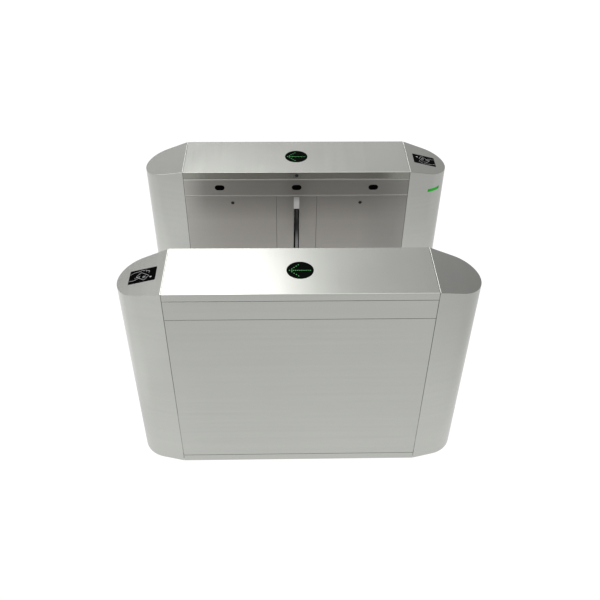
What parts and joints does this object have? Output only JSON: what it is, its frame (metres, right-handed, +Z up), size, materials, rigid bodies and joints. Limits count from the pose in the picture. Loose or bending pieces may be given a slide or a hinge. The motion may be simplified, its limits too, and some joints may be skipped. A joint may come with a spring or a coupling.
{
  "type": "flap barrier turnstile",
  "caption": "Lane gate of steel cabinets with retracting wing flaps driven by a motor and a toothed sector, with lift-up covers, tilt-out doors and direction displays.",
  "frame": {"origin": "on the floor, midway between the cabinets and midway along the lane", "axes": "+X along the lane, +Y across it from the left cabinet to the right one, +Z up"},
  "size_m": [1.4, 1.125, 0.98],
  "materials": {
    "brushed_steel": "stainless sheet with a fine brushed grain",
    "frame_steel": "plain zinc-grey steel, slightly dull",
    "bright_steel": "bright turned or plated steel",
    "black_acrylic": "gloss black window plastic",
    "green_lens": "lit green diffuser",
    "grey_plastic": "soft grey moulded flap",
    "gear_steel": "machined gear steel with a film of grease",
    "motor_black": "black enamelled motor casing",
    "box_grey": "light grey powder coat",
    "supply_aluminium": "plain rolled aluminium"
  },
  "bodies": {
    "root": {"right_base_frame": "frame_steel", "right_reader_end_housing": "brushed_steel", "right_plain_end_housing": "brushed_steel", "right_outer_panel": "brushed_steel", "right_outer_rail": "brushed_steel", "right_sensor_rail": "brushed_steel", "right_sensor_lens_strip": "black_acrylic", "right_slot_panel": "brushed_steel", "right_slot_cap": "bright_steel", "right_inner_frame": "frame_steel", "right_reader_window": "black_acrylic", "right_light_bar": "green_lens", "right_cover_hinge": "frame_steel", "right_mechanism_frame": "frame_steel", "right_bearing_a": "bright_steel", "right_bearing_b": "bright_steel", "right_gearmotor": "motor_black", "left_base_frame": "frame_steel", "left_reader_end_housing": "brushed_steel", "left_plain_end_housing": "brushed_steel", "left_outer_panel": "brushed_steel", "left_outer_rail": "brushed_steel", "left_sensor_rail": "brushed_steel", "left_sensor_lens_strip": "black_acrylic", "left_slot_panel": "brushed_steel", "left_slot_cap": "bright_steel", "left_inner_frame": "frame_steel", "left_reader_window": "black_acrylic", "left_light_bar": "green_lens", "left_cover_hinge": "frame_steel", "left_mechanism_frame": "frame_steel", "left_bearing_a": "bright_steel", "left_bearing_b": "bright_steel", "left_gearmotor": "motor_black", "controller_box": "box_grey", "power_supply": "supply_aluminium"},
    "right_cover": {"right_top_cover": "brushed_steel", "right_arrow_display": "black_acrylic"},
    "right_flap": {"right_flap_blade": "grey_plastic", "right_flap_carrier": "frame_steel", "right_flap_shaft": "bright_steel", "right_sector_gear": "gear_steel"},
    "right_cover_lock": {"right_cover_lock": "bright_steel"},
    "right_door_a": {"right_door_a": "brushed_steel"},
    "right_door_b": {"right_door_b": "brushed_steel"},
    "right_door_lock_a": {"right_door_lock_a": "bright_steel"},
    "right_door_lock_b": {"right_door_lock_b": "bright_steel"},
    "right_pinion": {"right_pinion": "gear_steel"},
    "left_cover": {"left_top_cover": "brushed_steel", "left_arrow_display": "black_acrylic"},
    "left_flap": {"left_flap_blade": "grey_plastic", "left_flap_carrier": "frame_steel", "left_flap_shaft": "bright_steel", "left_sector_gear": "gear_steel"},
    "left_cover_lock": {"left_cover_lock": "bright_steel"},
    "left_door_a": {"left_door_a": "brushed_steel"},
    "left_door_b": {"left_door_b": "brushed_steel"},
    "left_door_lock_a": {"left_door_lock_a": "bright_steel"},
    "left_door_lock_b": {"left_door_lock_b": "bright_steel"},
    "left_pinion": {"left_pinion": "gear_steel"}
  },
  "joints": [
    {"name": "right_flap_swing", "type": "hinge", "parent": "root", "child": "right_flap", "pos_m": [0, 0.3275, 0.28], "axis": [1, 0, 0], "range_deg": [0, 33]},
    {"name": "right_pinion_spin", "type": "hinge", "parent": "root", "child": "right_pinion", "pos_m": [0, 0.38375, 0.18257], "axis": [1, 0, 0], "range_deg": [-132.5, 0]},
    {"name": "right_cover_lift", "type": "hinge", "parent": "root", "child": "right_cover", "pos_m": [0, 0.5575, 0.966], "axis": [-1, 0, 0], "range_deg": [0, 80]},
    {"name": "right_cover_lock_turn", "type": "hinge", "parent": "right_cover", "child": "right_cover_lock", "pos_m": [0, 0.299, 0.963], "axis": [0, 1, 0], "range_deg": [0, 90]},
    {"name": "right_door_a_tilt", "type": "hinge", "parent": "root", "child": "right_door_a", "pos_m": [-0.3, 0.2885, 0.0472], "axis": [1, 0, 0], "range_deg": [0, 20]},
    {"name": "right_door_lock_a_turn", "type": "hinge", "parent": "right_door_a", "child": "right_door_lock_a", "pos_m": [-0.296, 0.299, 0.818], "axis": [0, -1, 0], "range_deg": [0, 90]},
    {"name": "right_door_b_tilt", "type": "hinge", "parent": "root", "child": "right_door_b", "pos_m": [0.3, 0.2885, 0.0472], "axis": [1, 0, 0], "range_deg": [0, 20]},
    {"name": "right_door_lock_b_turn", "type": "hinge", "parent": "right_door_b", "child": "right_door_lock_b", "pos_m": [0.296, 0.299, 0.818], "axis": [0, -1, 0], "range_deg": [0, 90]},
    {"name": "left_flap_swing", "type": "hinge", "parent": "root", "child": "left_flap", "pos_m": [0, -0.3275, 0.28], "axis": [-1, 0, 0], "range_deg": [0, 33]},
    {"name": "left_pinion_spin", "type": "hinge", "parent": "root", "child": "left_pinion", "pos_m": [0, -0.38375, 0.18257], "axis": [-1, 0, 0], "range_deg": [-132.5, 0]},
    {"name": "left_cover_lift", "type": "hinge", "parent": "root", "child": "left_cover", "pos_m": [0, -0.5575, 0.966], "axis": [1, 0, 0], "range_deg": [0, 80]},
    {"name": "left_cover_lock_turn", "type": "hinge", "parent": "left_cover", "child": "left_cover_lock", "pos_m": [0, -0.299, 0.963], "axis": [0, -1, 0], "range_deg": [0, 90]},
    {"name": "left_door_a_tilt", "type": "hinge", "parent": "root", "child": "left_door_a", "pos_m": [0.3, -0.2885, 0.0472], "axis": [-1, 0, 0], "range_deg": [0, 20]},
    {"name": "left_door_lock_a_turn", "type": "hinge", "parent": "left_door_a", "child": "left_door_lock_a", "pos_m": [0.296, -0.299, 0.818], "axis": [0, 1, 0], "range_deg": [0, 90]},
    {"name": "left_door_b_tilt", "type": "hinge", "parent": "root", "child": "left_door_b", "pos_m": [-0.3, -0.2885, 0.0472], "axis": [-1, 0, 0], "range_deg": [0, 20]},
    {"name": "left_door_lock_b_turn", "type": "hinge", "parent": "left_door_b", "child": "left_door_lock_b", "pos_m": [-0.296, -0.299, 0.818], "axis": [0, 1, 0], "range_deg": [0, 90]}
  ],
  "couplings": [
    {"joint": "right_pinion_spin", "follows": "right_flap_swing", "ratio": -4},
    {"joint": "left_pinion_spin", "follows": "left_flap_swing", "ratio": -4}
  ]
}
